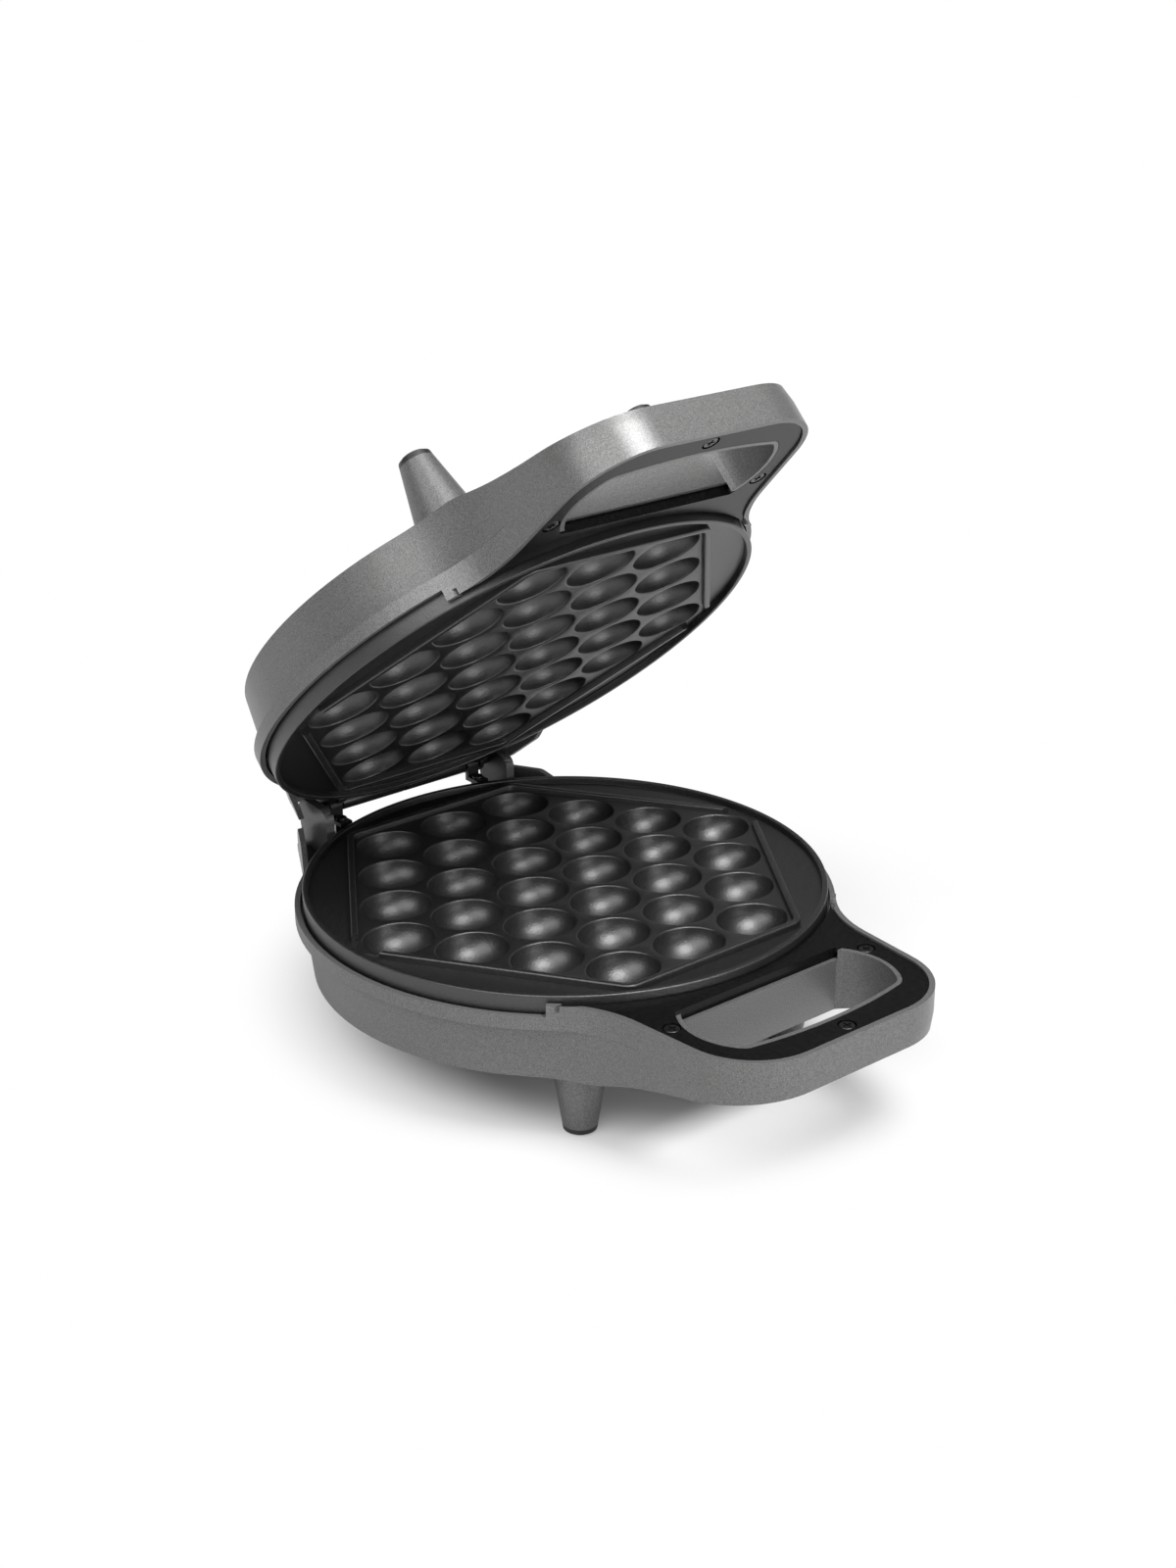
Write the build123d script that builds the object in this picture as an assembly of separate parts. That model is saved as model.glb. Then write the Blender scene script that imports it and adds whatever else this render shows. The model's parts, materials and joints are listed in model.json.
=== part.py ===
from build123d import *
from math import asin, atan2, cos, degrees, hypot, radians, sin, tan
import os

os.makedirs("parts", exist_ok=True)

# Bubble waffle maker, in millimetres.
# Each half is modelled in the frame of its own cooking plate: the origin is
# the plate's centre, Z = 0 is the land between the bubbles, the casing lies
# below, the handle points to -Y and the hinge is at +Y. The lid is the base's
# mirror image, closed over it and then swung open about the hinge pin.

# Cooking plate
PLATE_R = 115.0
PLATE_RIM_WIDTH = 2.5
PLATE_RIM_HEIGHT = 2.5
PLATE_THICK = 8.0
GUTTER_DROP = 0.6
BUBBLE_PITCH_X = 36.0
BUBBLE_PITCH_Y = 27.0
BUBBLE_WEB = 4.0
BUBBLE_HALF_Y = 14.1
BUBBLE_DEPTH = 12.0
BUBBLE_WALL = 2.5
BUBBLE_SIDES = 8
BUBBLE_LEVELS = (0, 34, 64)
ROWS_EACH_SIDE = 3
MIDDLE_ROW_COUNT = 6
RIB_WIDTH = 3.0
RIB_HEIGHT = 2.5
RIB_PAST_BUBBLES = 2.9
RIB_CORNER_R = 6.0
RIB_END_GAP = 20.0
PAD_INSET = 4.0

# Small round pieces and the holes for them are many-sided
HEX_SIDES = 6
SMALL_SIDES = 8
HEAD_SIDES = 12
SLEEVE_SIDES = 16
LEG_SIDES = 24
ROOM_SIDES = 36

# How far a cut runs past the face it opens, and how near counts as touching
PAST = 1.0
TOUCH = 0.01

# Closed pair and hinge
CLOSED_GAP = 5.4
HINGE_PAST_PLATE = 7.4
HINGE_Z = 7.2
OPEN_ANGLE = 44.6
LEG_LENGTH = 30.6

# Casing
WALL = 2.5
BEAD_PAST_PLATE = 3.6
BEAD_WALL = 2.4
BEAD_TOP = -5.0
BEAD_BOTTOM = -11.0
BEAD_STEP = 4.0
DRAFT = 7.0
CASING_DEPTH = 36.0
LEDGE_Z = -8.5

# Handle
HANDLE_LENGTH = 62.4
HANDLE_END_HALF = 59.0
HANDLE_FLARE = 4.94
HANDLE_CORNER_R = 34.0
HANDLE_ROOM_CORNER = 24.0
HANDLE_END_THICK = 17.2
NECK_R = 50.0
NECK_LOWER_R = 75.0
UNDERSIDE_START_INSET = 16.0
UNDERSIDE_RISE = 2.1
UNDERSIDE_BLEND_R = 30.0
STEP_PAST_NECK = 0.6

# Finger opening of the handle
OPENING_PAST_BEAD = 5.4
OPENING_SIDE_R = 27.25
OPENING_BOW = 3.0
OPENING_CORNER_R = 7.0
OPENING_WALL = 2.0
SIDE_BAR = 9.5
END_BAR = 17.0

# Handle cover
COVER_THICK = 2.2
COVER_TOP = -0.8
COVER_GAP = 0.25
COVER_LAP = 0.7
COVER_FLANGE = 4.6
COVER_FLANGE_WALL = 1.4

# Rear block and ears
BLOCK_HALF_REAR = 57.0
BLOCK_FLARE = 29.23
BLOCK_PAST_HINGE = 4.6
BLOCK_CORNER_R = 3.5
BLOCK_NECK_R = 25.0
DECK_Z = -9.0
DECK_THICK = 3.0
EAR_TOP = 2.4
EAR_REAR_WALL = 1.0
EAR_REAR_INSET = 5.1
EAR_RAMP_START = 36.0
EAR_RAMP_LENGTH = 12.0
EAR_ROUND = 5.0

# Cheeks that hold the hinge pin
CHEEK_THICK = 4.5
CHEEK_WALL = 3.5
CHEEK_FRONT = 17.0
CHEEK_ABOVE_PIN = 5.3
CHEEK_CORNER_R = 5.7
CHEEK_LID_GAP = 0.4

# Hinge
PIN_R = 2.5
PIN_RUNNING_GAP = 0.05
PIN_IN_CHEEK = 2.0
PIN_END_GAP = 0.1
SLEEVE_WALL = 1.25
SLEEVE_GAP = 0.3
KNUCKLE_WALL = 1.4
KNUCKLE_LENGTH = 6.5
KNUCKLE_SLEEVE_GAP = 0.8
BRACKET_THICK = 2.0
BASE_FLANGE_REACH = 11.4
BASE_SCREW_REACH = 7.2
LID_ARM_THICK = 2.0
LID_ARM_CHEEK_GAP = 4.0
LID_ARM_KNUCKLE_GAP = 1.0
LID_ARM_WALL = 2.0
LID_FLANGE_WIDTH = 8.0
LID_FLANGE_REACH = 12.6
LID_FLANGE_DEPTH = 7.6
LID_SCREW_REACH = 9.2
HINGE_SCREW_HEAD = 1.3
HINGE_SCREW_HEAD_R = 2.6
HINGE_SCREW_LENGTH = 8.0
HINGE_BOSS_R = 3.2

# Feet and what screws up through them
FOOT_INSET = 15.3
FOOT_ANGLE = 53.93
FOOT_TIP_R = 7.15
BASE_FOOT_ROOT_R = 11.75
LID_FOOT_ROOT_R = 13.25
FOOT_BORE_R = 4.2
TIP_R = 5.8
TIP_PROUD = 1.0
TIP_STEM = 4.0
POST_R = 4.5
BOSS_R = 5.5
BOSS_HEIGHT = 5.9
PLATE_SCREW_R = 1.6
PLATE_SCREW_LENGTH = 20.0
PLATE_SCREW_HEAD_R = 3.4
PLATE_SCREW_HEAD = 2.4

# Cover screws
COVER_SCREW_FROM_SIDE = 5.0
COVER_SCREW_FROM_NEAR = 6.7
COVER_SCREW_FROM_END = 8.6
COVER_SCREW_R = 1.5
COVER_SCREW_HEAD_R = 3.25
COVER_SCREW_HEAD = 1.0
COVER_SCREW_LENGTH = 10.0
COVER_COUNTERBORE_R = 4.0
COVER_COUNTERBORE = 1.2
COVER_BOSS_R = 4.0
SCREW_HOLE_GAP = 0.05

# Heater, its straps and the shield below it
HEATER_INSET = 10.0
HEATER_TOP_WIDTH = 7.0
HEATER_LOW_WIDTH = 4.0
HEATER_HEIGHT = 6.0
HEATER_TAIL_X = 26.3
HEATER_TAIL_LENGTH = 10.0
STRAP_ROW = 1.5
STRAP_WIDTH = 8.0
STRAP_THICK = 1.0
STRAP_SCREW_R = 1.5
STRAP_SCREW_DEPTH = 5.0
STRAP_SCREW_HEAD_R = 3.0
STRAP_SCREW_HEAD = 1.8
SHIELD_THICK = 0.6
SHIELD_LIP = 5.0
SHIELD_PAST_FOOT = 5.3
SHIELD_SIDE_INSET = 23.0
SHIELD_SIDE_HALF = 45.0

# Electrical pieces
INLET_R = 4.6
INLET_BORE_R = 2.3
INLET_LENGTH = 5.0
INLET_FLANGE_R = 6.6
INLET_FLANGE_THICK = 1.5
INLET_X = 0.0
TERMINAL_BLOCK = (26.0, 9.0, 9.0)
TERMINAL_X = -30.0
TERMINAL_FROM_REAR = 19.0
TERMINAL_PITCH = 8.6
TERMINAL_WAY = 4.4
THERMOSTAT_R = 8.0
THERMOSTAT_HEIGHT = 6.5
THERMOSTAT_Y = 40.0
THERMOSTAT_EARS = 24.0
THERMOSTAT_EAR_CORNER = 2.0
FUSE_R = 2.2
FUSE_LENGTH = 12.0
FUSE_X = 30.0
LAMP_X = 20.0
LAMP_FROM_END = 6.4
LAMP_WINDOW_WIDTH = 10.0
LAMP_WINDOW_DEPTH = 4.6
LAMP_WINDOW_TOP = 4.0
LAMP_R = 1.6
LAMP_LENGTH = 4.5
LAMP_SPACING = 4.6

# Plate values worked out from those above
BUBBLE_HALF_X = (BUBBLE_PITCH_X - BUBBLE_WEB) / 2
PAD_BOTTOM = -BUBBLE_DEPTH - BUBBLE_WALL
LATTICE = hypot(BUBBLE_PITCH_X / 2, BUBBLE_PITCH_Y)
RIB_NX = BUBBLE_PITCH_Y / LATTICE
RIB_NY = BUBBLE_PITCH_X / 2 / LATTICE
RIB_TO_SIDE_BUBBLES = hypot(BUBBLE_HALF_X * RIB_NX, BUBBLE_HALF_Y * RIB_NY) + RIB_PAST_BUBBLES
RIB_REACH_X = RIB_NX * BUBBLE_PITCH_X * (MIDDLE_ROW_COUNT - 1) / 2 + RIB_TO_SIDE_BUBBLES
RIB_REACH_Y = BUBBLE_PITCH_Y * ROWS_EACH_SIDE + BUBBLE_HALF_Y + RIB_PAST_BUBBLES
STRAP_SCREW = (BUBBLE_PITCH_X * (MIDDLE_ROW_COUNT - 1 - STRAP_ROW) / 2, BUBBLE_PITCH_Y * STRAP_ROW)

# Casing values worked out from those above
BEAD_R = PLATE_R + BEAD_PAST_PLATE
DRUM_R = BEAD_R - BEAD_STEP
FLOOR_Z = -CASING_DEPTH
FLOOR_TOP = FLOOR_Z + WALL
SHIELD_Z = FLOOR_TOP + BOSS_HEIGHT
POST_END = SHIELD_Z + SHIELD_THICK
FEET_BELOW_LAND = CASING_DEPTH + LEG_LENGTH
FOOT_END = -FEET_BELOW_LAND + TIP_PROUD
FOOT_X = (PLATE_R - FOOT_INSET) * cos(radians(FOOT_ANGLE))
FOOT_Y = (PLATE_R - FOOT_INSET) * sin(radians(FOOT_ANGLE))

# Handle values worked out from those above
HANDLE_REACH = BEAD_R + HANDLE_LENGTH
OPENING_NEAR = BEAD_R + OPENING_PAST_BEAD
OPENING_FAR = HANDLE_REACH - END_BAR
OPENING_HALF = HANDLE_END_HALF - SIDE_BAR
COVER_UNDER = COVER_TOP - COVER_THICK
UNDERSIDE_START_Y = -PLATE_R + UNDERSIDE_START_INSET
FLARE_RUN = HANDLE_END_HALF * cos(radians(HANDLE_FLARE)) + HANDLE_REACH * sin(radians(HANDLE_FLARE))
NECK_ANGLE = degrees(asin((NECK_R + FLARE_RUN) / (BEAD_R + NECK_R))) - HANDLE_FLARE
STEP_ANGLE = NECK_ANGLE + STEP_PAST_NECK

# Hinge values worked out from those above
HINGE_Y = PLATE_R + HINGE_PAST_PLATE
HINGE_AXIS = Axis((0, HINGE_Y, HINGE_Z), (1, 0, 0))
BLOCK_REAR_Y = HINGE_Y + BLOCK_PAST_HINGE
CHEEK_OUT = BLOCK_HALF_REAR - WALL
CHEEK_IN = CHEEK_OUT - CHEEK_THICK
CHEEK_R = PIN_R + CHEEK_WALL
CHEEK_TOP = HINGE_Z + CHEEK_ABOVE_PIN
SLEEVE_R = PIN_R + SLEEVE_WALL
KNUCKLE_R = PIN_R + KNUCKLE_WALL
LID_ARM_R = PIN_R + LID_ARM_WALL
LID_ARM_X = (CHEEK_IN - LID_ARM_CHEEK_GAP - LID_ARM_THICK, CHEEK_IN - LID_ARM_CHEEK_GAP)
KNUCKLE_OUT = LID_ARM_X[0] - LID_ARM_KNUCKLE_GAP
KNUCKLE_X = (KNUCKLE_OUT - KNUCKLE_LENGTH, KNUCKLE_OUT)
SLEEVE_END = KNUCKLE_X[0] - KNUCKLE_SLEEVE_GAP
HINGE_SCREW_X = KNUCKLE_OUT - KNUCKLE_LENGTH / 2
BASE_SCREW_Y = HINGE_Y - BASE_SCREW_REACH
LID_SCREW_Y = HINGE_Y - LID_SCREW_REACH


def down(sketch, top, bottom, taper=0):
    """Extrude a flat outline from height top to bottom, narrowing by a taper."""
    upright = extrude(Pos(0, 0, -top) * sketch, amount=top - bottom, taper=taper)
    return mirror(upright, about=Plane.XY)


def rod(x, y, low, high, radius):
    """An upright cylinder between two heights."""
    return Pos(x, y, low) * Cylinder(radius, high - low, align=(Align.CENTER, Align.CENTER, Align.MIN))


def prism(x, y, low, high, radius, sides=SMALL_SIDES):
    """An upright many-sided rod, for small round pieces and their holes."""
    return extrude(Pos(x, y, low) * RegularPolygon(radius, sides), amount=high - low)


def block(x, y, z):
    """A box given by its ranges along X, Y and Z."""
    middle = Pos((x[0] + x[1]) / 2, (y[0] + y[1]) / 2, (z[0] + z[1]) / 2)
    return middle * Box(x[1] - x[0], y[1] - y[0], z[1] - z[0])


def span(start, end, radius):
    """A cylinder along X through the hinge axis."""
    centre = Pos((start + end) / 2, HINGE_Y, HINGE_Z)
    return centre * Rot(0, 90, 0) * Cylinder(radius, abs(end - start))


def flat_span(start, end, inner_radius, sides):
    """A many-sided bar along X through the hinge axis, by its flats' radius."""
    place = Plane(origin=(start, HINGE_Y, HINGE_Z), x_dir=(0, 1, 0), z_dir=(1, 0, 0))
    outline = RegularPolygon(inner_radius, sides, major_radius=False)
    return extrude(place * outline, amount=end - start)


def both_sides(shape):
    """A solid and its mirror image across the YZ plane."""
    return [shape, mirror(shape, about=Plane.YZ)]


def corners(x, y):
    """The four places at plus and minus x, plus and minus y."""
    return [(sx * x, sy * y) for sx in (-1, 1) for sy in (-1, 1)]


def bubble_centres():
    """Centres of the bubbles, in rows that shorten away from the middle."""
    places = []
    for row in range(-ROWS_EACH_SIDE, ROWS_EACH_SIDE + 1):
        count = MIDDLE_ROW_COUNT - abs(row)
        for i in range(count):
            places.append(((i - (count - 1) / 2) * BUBBLE_PITCH_X, row * BUBBLE_PITCH_Y))
    return places


def bubble_cavity():
    """One bubble: a half ellipsoid in flat facets that opens at the land."""
    rings = []
    for angle in BUBBLE_LEVELS:
        grow = cos(radians(angle))
        depth = -BUBBLE_DEPTH * sin(radians(angle))
        turns = [radians(360 * i / BUBBLE_SIDES) for i in range(BUBBLE_SIDES)]
        rings.append([(BUBBLE_HALF_X * grow * cos(t), BUBBLE_HALF_Y * grow * sin(t), depth) for t in turns])
    faces = [Face(Wire.make_polygon(rings[0]))]
    for upper, lower in zip(rings, rings[1:]):
        for i in range(BUBBLE_SIDES):
            k = (i + 1) % BUBBLE_SIDES
            faces.append(Face(Wire.make_polygon([upper[i], upper[k], lower[k], lower[i]])))
    bottom = (0, 0, -BUBBLE_DEPTH)
    for i in range(BUBBLE_SIDES):
        faces.append(Face(Wire.make_polygon([rings[-1][i], rings[-1][(i + 1) % BUBBLE_SIDES], bottom])))
    return Solid(Shell(faces))


def rib_hexagon(offset_by):
    """The hexagon that the rib follows, moved out or in by half its width."""
    reach = RIB_REACH_X + offset_by
    end_y = RIB_REACH_Y + offset_by
    corner_x = (reach - RIB_NY * end_y) / RIB_NX
    side_x = reach / RIB_NX
    points = [(side_x, 0), (corner_x, end_y), (-corner_x, end_y)]
    points += [(-side_x, 0), (-corner_x, -end_y), (corner_x, -end_y)]
    outline = make_face(Polyline(*points, close=True))
    turned = [v for v in outline.vertices() if abs(v.Y) > TOUCH]
    return fillet(turned, RIB_CORNER_R + offset_by)


def cooking_plate():
    """Cast plate: bubbles, hexagonal rib, gutters, raised rim, pad and posts."""
    well_r = PLATE_R - PLATE_RIM_WIDTH
    plate = rod(0, 0, -PLATE_THICK, PLATE_RIM_HEIGHT, PLATE_R)
    plate -= rod(0, 0, -GUTTER_DROP, PLATE_RIM_HEIGHT, well_r)
    inside = rib_hexagon(-RIB_WIDTH / 2)
    outside = rib_hexagon(RIB_WIDTH / 2)
    land = down(inside, 0, -GUTTER_DROP)
    rib = down(outside - inside, RIB_HEIGHT, -GUTTER_DROP)
    rib -= block((-PLATE_R, PLATE_R), (-RIB_END_GAP / 2, RIB_END_GAP / 2), (-PLATE_THICK, PLATE_THICK))
    pad = down(rib_hexagon(-PAD_INSET), -PLATE_THICK, PAD_BOTTOM)
    posts = [prism(x, y, POST_END, -PLATE_THICK, POST_R) for x, y in corners(FOOT_X, FOOT_Y)]
    plate += [land, rib, pad] + posts
    cavities = [Pos(x, y) * bubble_cavity() for x, y in bubble_centres()]
    screw_end = FLOOR_Z + PLATE_SCREW_LENGTH + PAST
    bore_r = PLATE_SCREW_R + SCREW_HOLE_GAP
    holes = [prism(x, y, POST_END, screw_end, bore_r) for x, y in corners(FOOT_X, FOOT_Y)]
    strap_end = PAD_BOTTOM + STRAP_SCREW_DEPTH
    strap_bore = STRAP_SCREW_R + SCREW_HOLE_GAP
    holes += [prism(x, y, PAD_BOTTOM, strap_end, strap_bore) for x, y in corners(*STRAP_SCREW)]
    return plate - cavities - holes


def handle_quad():
    """The handle's straight-sided outline, before its corners are rounded."""
    root_y = -PLATE_R / 2
    root_half = HANDLE_END_HALF + (HANDLE_REACH + root_y) * tan(radians(HANDLE_FLARE))
    points = [(-HANDLE_END_HALF, -HANDLE_REACH), (HANDLE_END_HALF, -HANDLE_REACH)]
    points += [(root_half, root_y), (-root_half, root_y)]
    return make_face(Polyline(*points, close=True))


def block_quad():
    """The rear block's trapezoid, before its corners are rounded."""
    front_y = PLATE_R / 2
    front_half = BLOCK_HALF_REAR + (BLOCK_REAR_Y - front_y) * tan(radians(BLOCK_FLARE))
    points = [(-front_half, front_y), (front_half, front_y)]
    points += [(BLOCK_HALF_REAR, BLOCK_REAR_Y), (-BLOCK_HALF_REAR, BLOCK_REAR_Y)]
    return make_face(Polyline(*points, close=True))


def block_outline():
    """The rear block that carries the hinge, seen from above."""
    outline = block_quad()
    return fillet([v for v in outline.vertices() if v.Y > HINGE_Y], BLOCK_CORNER_R)


def body_outline(round_r, neck_r):
    """A round body that flows into the handle and into the rear block."""
    outline = Sketch() + Circle(round_r) + handle_quad() + block_outline()
    ends = [v for v in outline.vertices() if v.Y < -HANDLE_REACH + TOUCH]
    outline = fillet(ends, HANDLE_CORNER_R)
    on_circle = [v for v in outline.vertices() if abs(hypot(v.X, v.Y) - round_r) < TOUCH]
    outline = fillet([v for v in on_circle if v.Y < -round_r / 2], neck_r)
    on_circle = [v for v in outline.vertices() if abs(hypot(v.X, v.Y) - round_r) < TOUCH]
    return fillet([v for v in on_circle if v.Y > round_r / 2], BLOCK_NECK_R)


def rim_outline():
    return body_outline(BEAD_R, NECK_R)


def lower_outline():
    return body_outline(DRUM_R, NECK_LOWER_R)


def cover_screw_places():
    """One screw on each side of the opening and one in the handle's bar."""
    x, y = HANDLE_END_HALF - COVER_SCREW_FROM_SIDE, -OPENING_NEAR - COVER_SCREW_FROM_NEAR
    return [(x, y), (-x, y), (0, -HANDLE_REACH + COVER_SCREW_FROM_END)]


def below_underside(lift):
    """The space under the floor and the arched handle, raised by a thickness."""
    end_z = -HANDLE_END_THICK
    far = -HANDLE_REACH - WALL
    middle = ((UNDERSIDE_START_Y - HANDLE_REACH) / 2, (FLOOR_Z + end_z) / 2 + UNDERSIDE_RISE)
    arch = ThreePointArc((UNDERSIDE_START_Y, FLOOR_Z), middle, (-HANDLE_REACH, end_z))
    rest = Polyline((-HANDLE_REACH, end_z), (far, end_z), (far, 2 * FLOOR_Z), (HANDLE_REACH, 2 * FLOOR_Z),
                    (HANDLE_REACH, FLOOR_Z), (UNDERSIDE_START_Y, FLOOR_Z))
    profile = make_face(arch + rest)
    bend = [v for v in profile.vertices() if abs(v.X - UNDERSIDE_START_Y) < TOUCH]
    profile = fillet(bend, UNDERSIDE_BLEND_R)
    return Pos(0, 0, lift) * extrude(Plane.YZ * profile, amount=PLATE_R + WALL, both=True)


def opening_outline():
    """The D-shaped finger opening: straight near the plate, bowed beyond."""
    side_x = OPENING_HALF - OPENING_SIDE_R
    side_y = -(OPENING_FAR + OPENING_NEAR) / 2 + OPENING_BOW
    near_x = side_x + (OPENING_SIDE_R**2 - (side_y + OPENING_NEAR) ** 2) ** 0.5
    rounds = Pos(side_x, side_y) * Circle(OPENING_SIDE_R)
    rounds += Pos(-side_x, side_y) * Circle(OPENING_SIDE_R)
    rounds += Pos(0, side_y) * Rectangle(2 * side_x, 2 * OPENING_SIDE_R)
    bow_r = (OPENING_HALF**2 + (2 * OPENING_BOW) ** 2) / (4 * OPENING_BOW)
    rounds &= Pos(0, -OPENING_FAR + bow_r) * Circle(bow_r)
    keep_y = -(OPENING_FAR + OPENING_NEAR) / 2
    rounds &= Pos(0, keep_y) * Rectangle(3 * near_x, OPENING_FAR - OPENING_NEAR)
    far_corners = [v for v in rounds.vertices() if v.Y < side_y]
    return fillet(far_corners, OPENING_CORNER_R)


def legs(root_r):
    """Four tapered legs under the floor."""
    flank = degrees(atan2(root_r - FOOT_TIP_R, FLOOR_Z - FOOT_END))
    foot = RegularPolygon(root_r + WALL * tan(radians(flank)), LEG_SIDES)
    places = corners(FOOT_X, FOOT_Y)
    return [down(Pos(x, y) * foot, FLOOR_TOP, FOOT_END, taper=flank) for x, y in places]


def casing_outside(root_r):
    """The moulded body's outer form: bead, drafted wall, arched handle, legs."""
    upper = down(rim_outline(), 0, BEAD_BOTTOM)
    lower = down(lower_outline(), BEAD_BOTTOM, FLOOR_Z - WALL, taper=DRAFT)
    return upper + (lower - below_underside(0)) + legs(root_r)


def step_cut():
    """Space above the bead, all round except across the handle."""
    reach = 2 * HANDLE_REACH
    tip = reach * sin(radians(STEP_ANGLE))
    wedge = make_face(Polyline((0, 0), (tip, -reach * cos(radians(STEP_ANGLE))),
                               (-tip, -reach * cos(radians(STEP_ANGLE))), close=True))
    return down(Circle(reach) - wedge, PAST, BEAD_TOP)


def handle_zone():
    """Everything in front of the plate, where the handle is hollow."""
    near = -PLATE_R * cos(radians(STEP_ANGLE)) - 2 * WALL
    return Pos(0, near - HANDLE_REACH / 2) * Rectangle(2 * HANDLE_REACH, HANDLE_REACH)


def handle_room():
    """The handle's hollow seen from above, flat-sided where it is hidden."""
    inside = offset(handle_quad(), -WALL, kind=Kind.INTERSECTION)
    ends = [v for v in inside.vertices() if v.Y < -OPENING_NEAR]
    inside = chamfer(ends, HANDLE_ROOM_CORNER)
    return (inside & handle_zone()) - RegularPolygon(DRUM_R, ROOM_SIDES, major_radius=False)


def hollows():
    """The drum's chamber, the rear block's and the handle's."""
    room = offset(block_quad(), -WALL, kind=Kind.INTERSECTION)
    room += RegularPolygon(DRUM_R - WALL, ROOM_SIDES)
    drum = down(room, LEDGE_Z, FLOOR_TOP, taper=DRAFT) - below_underside(WALL)
    behind = block_quad() - RegularPolygon(DRUM_R - WALL, ROOM_SIDES)
    deck = down(behind, LEDGE_Z + PAST, DECK_Z - DECK_THICK)
    drum = drum - deck + rod(0, 0, LEDGE_Z, PAST, BEAD_R - BEAD_WALL)
    rim_room = (offset(rim_outline(), -BEAD_WALL) - Circle(BEAD_R)) & handle_zone()
    handle = down(rim_room, PAST, COVER_UNDER)
    handle += down(handle_room(), COVER_UNDER, FLOOR_TOP, taper=DRAFT) - below_underside(WALL)
    ring_top = down(rim_outline() & Circle(BEAD_R + COVER_GAP) & handle_zone(), PAST, COVER_UNDER)
    return drum, handle, ring_top


def rear_cut():
    """Space above the rear deck, open at the back between the ears."""
    inner = offset(block_outline(), -WALL, kind=Kind.INTERSECTION)
    wide = 2 * PLATE_R
    notch_half = BLOCK_HALF_REAR - EAR_REAR_WALL
    inner += Pos(0, BLOCK_REAR_Y) * Rectangle(2 * notch_half, 2 * EAR_REAR_INSET)
    inner += Pos(0, BLOCK_REAR_Y - EAR_REAR_INSET + wide / 2) * Rectangle(wide, wide)
    return down(inner - Circle(BEAD_R), PAST, DECK_Z)


def ears():
    """The rear block's side walls, which rise past the lip and round off."""
    wall = block_outline() - offset(block_outline(), -WALL, kind=Kind.INTERSECTION)
    ramp_y, rear_y = BLOCK_REAR_Y - EAR_RAMP_START, BLOCK_REAR_Y - EAR_REAR_INSET
    points = [(ramp_y, BEAD_TOP), (ramp_y + EAR_RAMP_LENGTH, EAR_TOP)]
    points += [(rear_y, EAR_TOP), (rear_y, DECK_Z), (ramp_y, DECK_Z)]
    side = make_face(Polyline(*points, close=True))
    side = fillet([v for v in side.vertices() if v.Y > 0], EAR_ROUND)
    return down(wall - Circle(BEAD_R), EAR_TOP, DECK_Z) & extrude(Plane.YZ * side, amount=PLATE_R, both=True)


def casing(root_r):
    """One moulded shell, the same for both halves apart from its legs."""
    outside = casing_outside(root_r)
    drum, handle, ring_top = hollows()
    shell = outside - drum - handle - ring_top - step_cut() - rear_cut()
    shell += ears()
    tube = down(offset(opening_outline(), OPENING_WALL), COVER_TOP, 2 * FLOOR_Z) & outside
    shell += tube
    places = cover_screw_places()
    pillars = [prism(x, y, 2 * FLOOR_Z, COVER_UNDER, COVER_BOSS_R) & outside for x, y in places]
    shell += pillars
    bosses = [prism(x, y, FLOOR_TOP - PAST, SHIELD_Z, BOSS_R) for x, y in corners(FOOT_X, FOOT_Y)]
    shell += bosses
    lap_y = (-OPENING_NEAR - COVER_GAP, -BEAD_R - COVER_GAP)
    near_edge = block((-PLATE_R, PLATE_R), lap_y, (COVER_TOP - COVER_FLANGE, PAST))
    shell -= near_edge & down(offset(opening_outline(), 2 * OPENING_WALL), PAST, 2 * FLOOR_Z)
    shell -= down(opening_outline(), PAST, 2 * FLOOR_Z)
    pilot = COVER_SCREW_R + SCREW_HOLE_GAP
    shell -= [prism(x, y, COVER_UNDER - COVER_SCREW_LENGTH, PAST, pilot) for x, y in places]
    for x, y in corners(FOOT_X, FOOT_Y):
        shell -= prism(x, y, FOOT_END, FLOOR_Z, FOOT_BORE_R)
        shell -= prism(x, y, FLOOR_Z, POST_END, PLATE_SCREW_R + 2 * SCREW_HOLE_GAP)
    return shell


def cheek():
    """A side plate of the base that holds one end of the hinge pin."""
    front_y = HINGE_Y - CHEEK_FRONT
    start = (front_y, BEAD_BOTTOM)
    crown_end = (HINGE_Y, HINGE_Z + CHEEK_R)
    front = Polyline(crown_end, (front_y + CHEEK_R, CHEEK_TOP), (front_y, CHEEK_TOP), start)
    back = Polyline(start, (BLOCK_REAR_Y - WALL, BEAD_BOTTOM), (HINGE_Y + CHEEK_R, HINGE_Z))
    crown = ThreePointArc((HINGE_Y + CHEEK_R, HINGE_Z),
                          (HINGE_Y + CHEEK_R * sin(radians(45)), HINGE_Z + CHEEK_R * cos(radians(45))),
                          crown_end)
    side = make_face(front + back + crown)
    corner = [v for v in side.vertices() if abs(v.X - front_y) < TOUCH and v.Y > 0]
    side = fillet(corner, CHEEK_CORNER_R)
    plate = Pos(CHEEK_IN, 0, 0) * extrude(Plane.YZ * side, amount=CHEEK_THICK)
    lid_bead = CLOSED_GAP - BEAD_TOP - CHEEK_LID_GAP
    return plate - rod(0, 0, lid_bead, 2 * CHEEK_TOP, BEAD_R + CHEEK_LID_GAP)


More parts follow.
